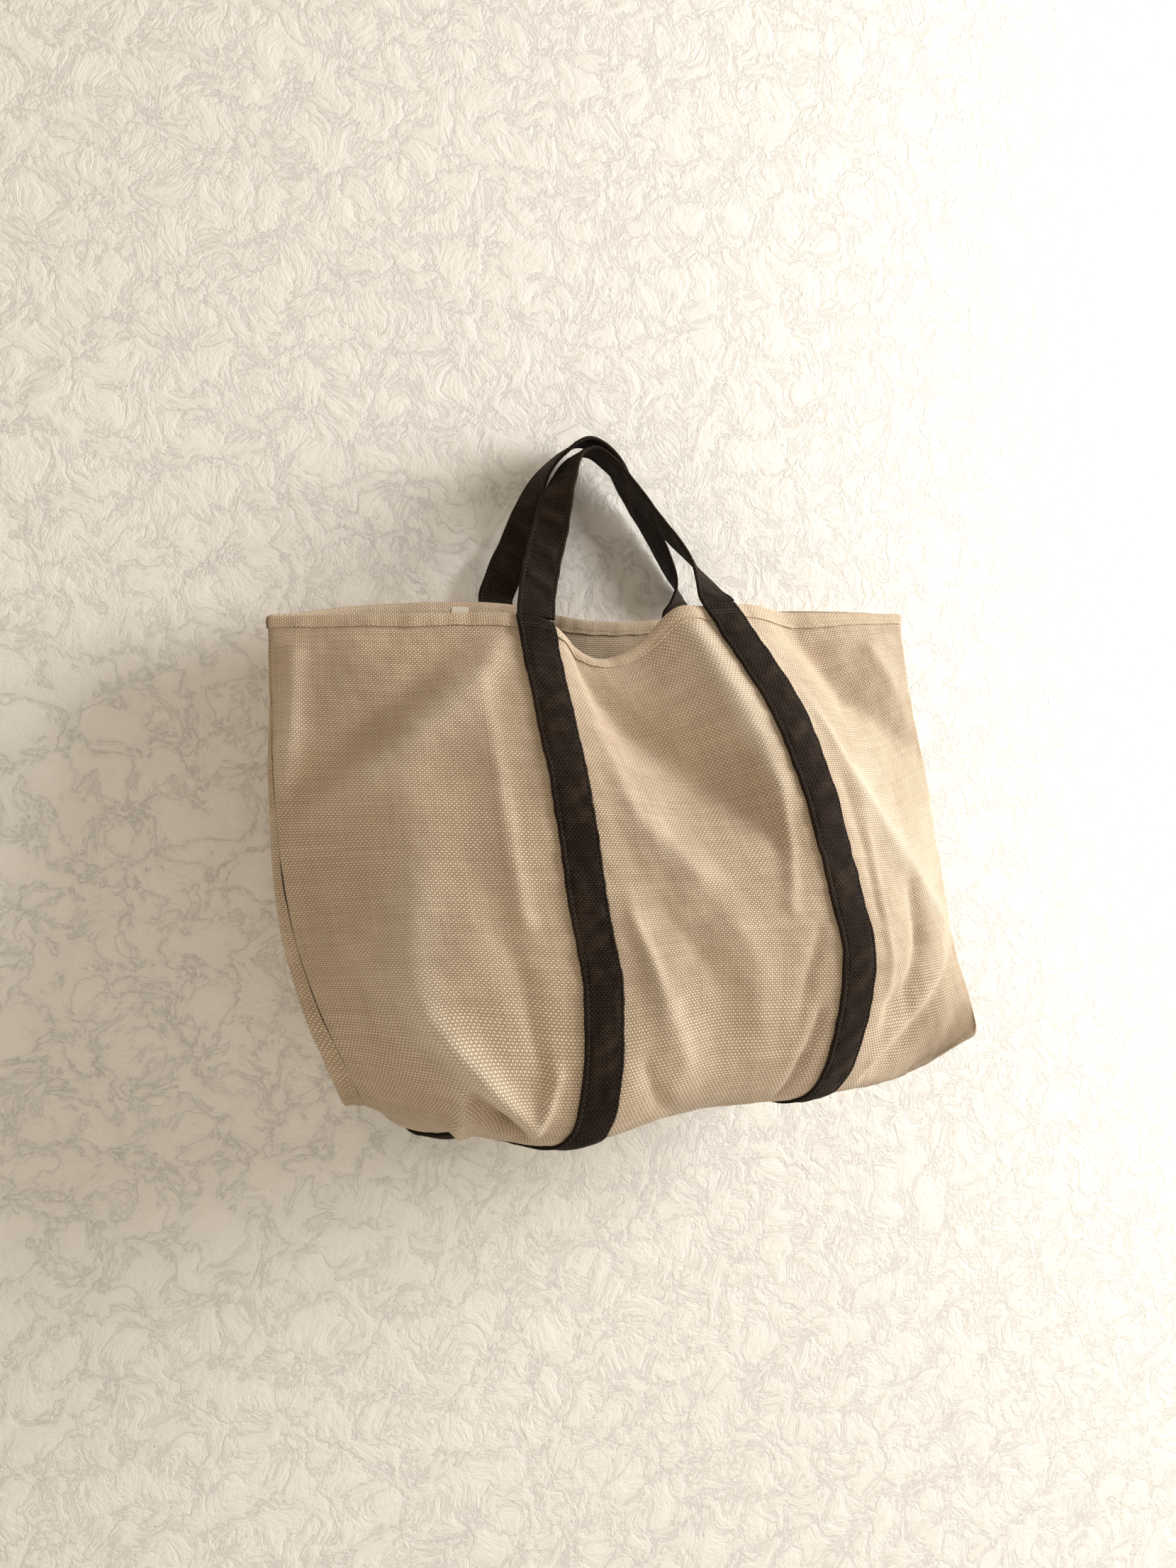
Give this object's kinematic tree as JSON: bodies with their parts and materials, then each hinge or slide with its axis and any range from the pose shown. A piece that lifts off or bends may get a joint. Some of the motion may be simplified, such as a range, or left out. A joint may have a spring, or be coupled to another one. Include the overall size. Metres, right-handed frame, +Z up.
{
  "type": "beach bag",
  "caption": "Open canvas tote for the beach with two strap handles, hanging by them from a peg, its base and right corner slack.",
  "frame": {"origin": "where the inner handle band bears on the peg", "axes": "+X to the right across the bag, +Z up, the front panel faces -Y and the back panel faces +Y"},
  "size_m": [0.4996, 0.1534, 0.4752],
  "materials": {
    "canvas": "heavy plain-weave duck, undyed khaki",
    "hem": "the same duck, folded and topstitched",
    "strap": "folded duck dyed dark brown, edge-stitched and worn",
    "binding": "cotton tape",
    "thread": "pale cotton thread",
    "strap_thread": "dark cotton thread",
    "label": "plain woven cotton"
  },
  "bodies": {
    "bag": {"front_panel": "canvas", "back_panel": "canvas", "front_hem": "hem", "back_hem": "hem", "front_left_strap": "strap", "front_right_strap": "strap", "back_left_strap": "strap", "back_right_strap": "strap", "base_left_strap": "strap", "base_right_strap": "strap", "left_seam_binding": "binding", "right_seam_binding": "binding", "base_seam_binding": "binding", "left_corner_binding": "binding", "right_corner_binding": "binding", "front_tacks": "strap_thread", "back_tacks": "strap_thread", "label": "label"},
    "front_handle": {"front_handle": "strap"},
    "back_handle": {"back_handle": "strap"}
  },
  "joints": [
    {"name": "back_handle_swing", "type": "hinge", "parent": "bag", "child": "back_handle", "pos_m": [0.006, 0.0159, -0.1094], "axis": [-0.9996, -0.0001, 0.029], "range_deg": [0, 160]},
    {"name": "front_handle_swing", "type": "hinge", "parent": "bag", "child": "front_handle", "pos_m": [0.0076, -0.0629, -0.1163], "axis": [0.9926, 0.0381, 0.115], "range_deg": [0, 160]}
  ],
  "couplings": [
    {"joint": "front_handle_swing", "follows": "back_handle_swing", "ratio": 1}
  ]
}
